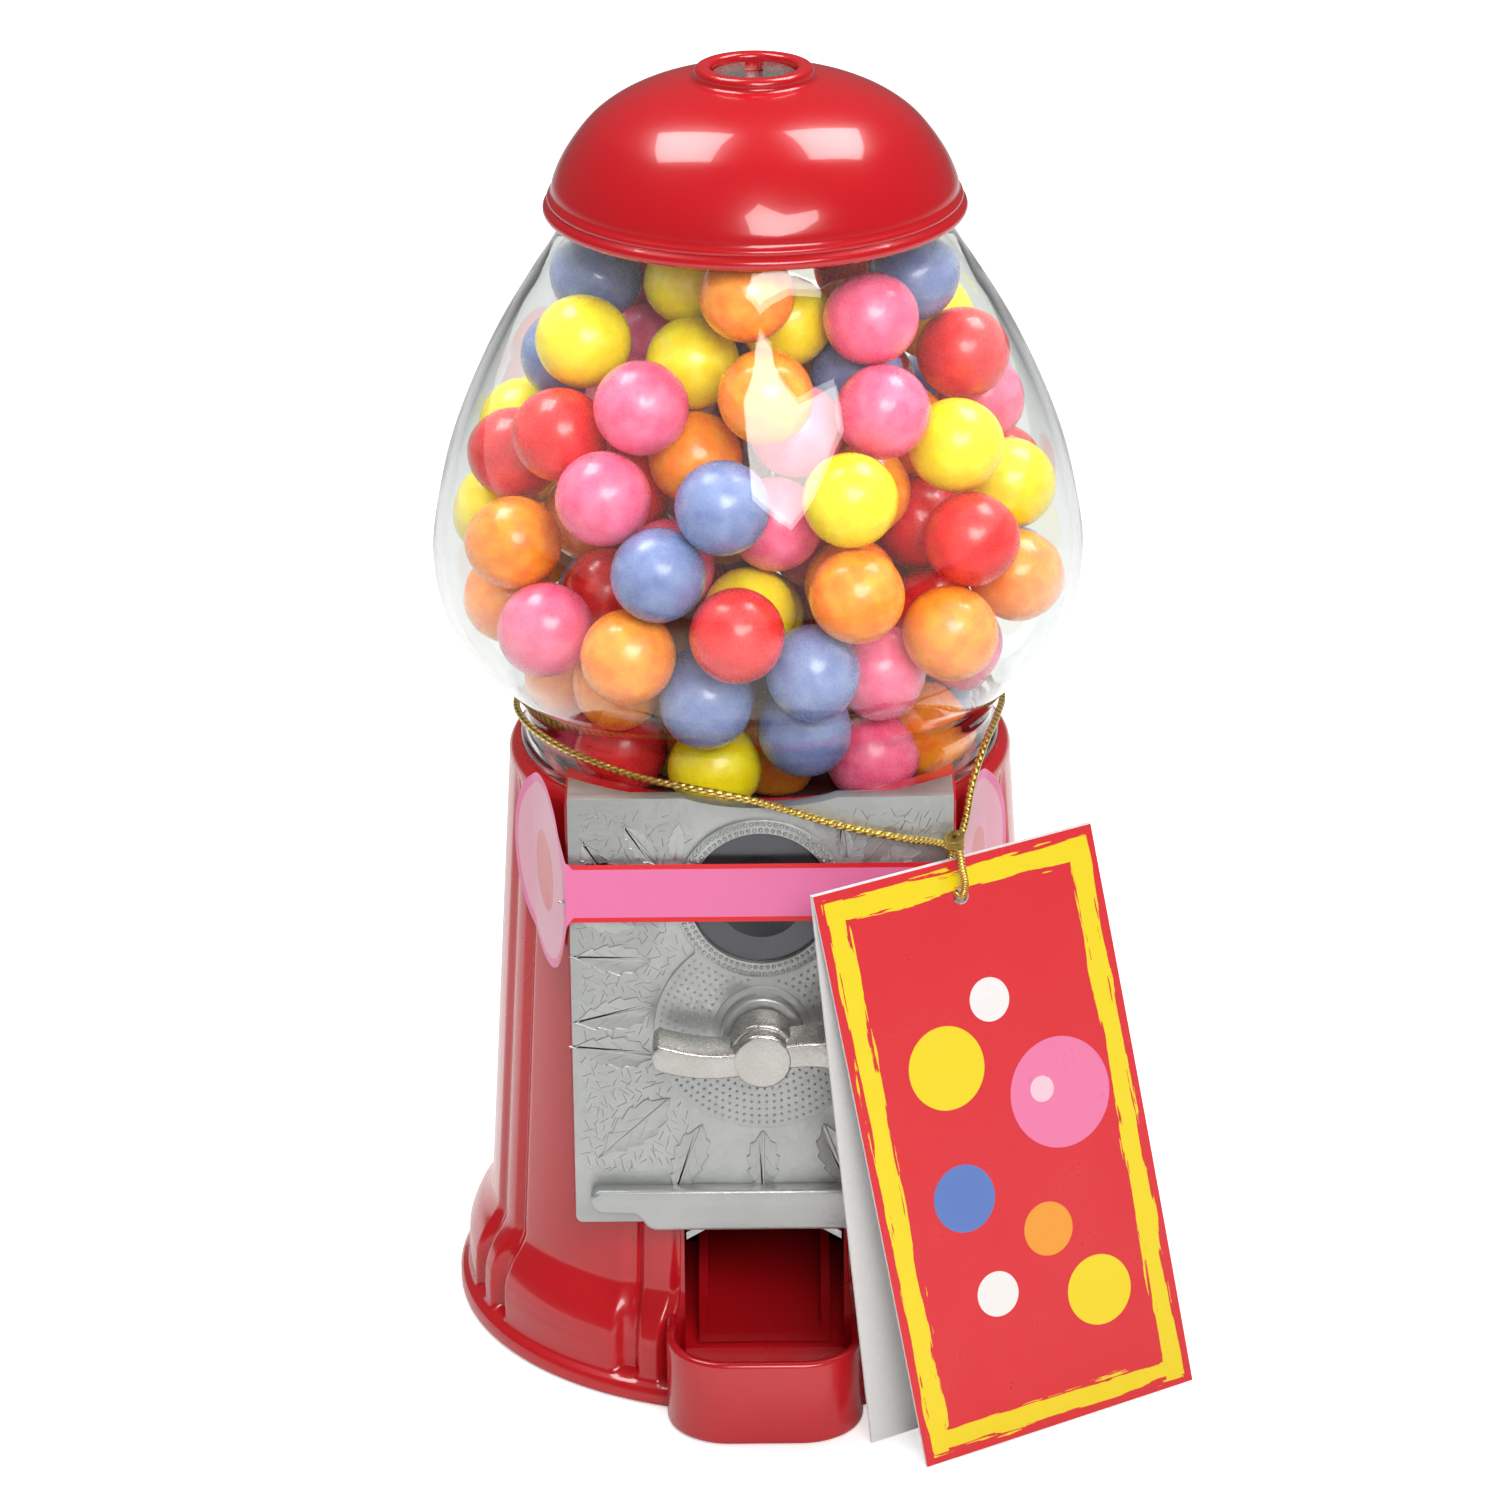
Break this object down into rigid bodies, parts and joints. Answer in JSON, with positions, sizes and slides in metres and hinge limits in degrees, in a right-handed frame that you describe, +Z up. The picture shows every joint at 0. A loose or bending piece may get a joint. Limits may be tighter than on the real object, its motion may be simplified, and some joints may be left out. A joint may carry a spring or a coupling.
{
  "type": "gumball machine",
  "caption": "Red die-cast gumball machine with a coin front plate, wing handle, pear-shaped glass globe full of gumballs and a domed lid.",
  "frame": {"origin": "centre of the foot on the floor, on the globe's axis", "axes": "+Z up along the globe and its rod, -Y the front with the plate and the handle, +X the right side seen from behind the front plate's back, that is the viewer's right"},
  "size_m": [0.1329, 0.1327, 0.2291],
  "materials": {
    "red_paint": "gloss",
    "cast_zinc": "satin cast",
    "dark_zinc": "satin",
    "polished_zinc": "polished",
    "steel": "satin",
    "dark_steel": "matte",
    "brass": "satin",
    "black_rubber": "matte",
    "white_plastic": "satin",
    "grey_plastic": "satin",
    "clear_glass": "clear",
    "seal_paper": "matte",
    "gold_cord": "braided",
    "red_card": "printed",
    "sugar_red": "glossy",
    "sugar_orange": "glossy",
    "sugar_yellow": "glossy",
    "sugar_pink": "glossy",
    "sugar_blue": "glossy",
    "red_plastic": "satin"
  },
  "bodies": {
    "frame": {"base_housing": "red_paint", "bottom_cover": "dark_steel", "cover_screws": "steel", "front_plate": "cast_zinc", "plate_screws": "steel", "coin_window_cup": "dark_zinc", "front_bush": "brass", "pawl_plate": "dark_steel", "pawl_spring": "steel", "drum_housing": "grey_plastic", "hopper": "grey_plastic", "hopper_screws": "steel", "chute": "red_plastic", "chute_screws": "steel", "coin_deflector": "steel", "neck_gasket": "black_rubber", "globe": "clear_glass", "centre_rod": "steel", "rod_nut": "steel", "rod_washer": "steel", "gumballs_red": "sugar_red", "gumballs_orange": "sugar_orange", "gumballs_yellow": "sugar_yellow", "gumballs_pink": "sugar_pink", "gumballs_blue": "sugar_blue", "seal_band": "seal_paper", "tag_cord": "gold_cord", "cord_clasp": "gold_cord", "hang_tag": "red_card"},
    "turning_shaft": {"handle": "polished_zinc", "handle_pin": "steel", "drive_shaft": "steel", "coin_wheel": "dark_zinc", "ratchet_wheel": "steel", "dispensing_drum": "white_plastic", "rear_clip": "steel"},
    "pawl_body": {"pawl": "steel"},
    "lid_body": {"lid": "red_paint", "lid_gasket": "black_rubber"},
    "nut_body": {"lid_nut": "polished_zinc"},
    "plug_body": {"coin_plug": "black_rubber"}
  },
  "joints": [
    {"name": "handle_turn", "type": "hinge", "parent": "frame", "child": "turning_shaft", "pos_m": [0, 0, 0.0715], "axis": [0, 1, 0], "continuous": true},
    {"name": "pawl_lift", "type": "hinge", "parent": "frame", "child": "pawl_body", "pos_m": [-0.02, 0, 0.0875], "axis": [0, -1, 0], "range_deg": [0, 12], "stiffness_Nm_per_rad": 0.002, "springref_deg": -17.19},
    {"name": "lid_lift", "type": "slide", "parent": "frame", "child": "lid_body", "axis": [0, 0, 1], "range_m": [0, 0.04]},
    {"name": "nut_turn", "type": "hinge", "parent": "lid_body", "child": "nut_body", "pos_m": [0, 0, 0.2235], "axis": [0, 0, 1], "continuous": true},
    {"name": "plug_pull", "type": "slide", "parent": "frame", "child": "plug_body", "axis": [0, 0, -1], "range_m": [0, 0.01]}
  ]
}
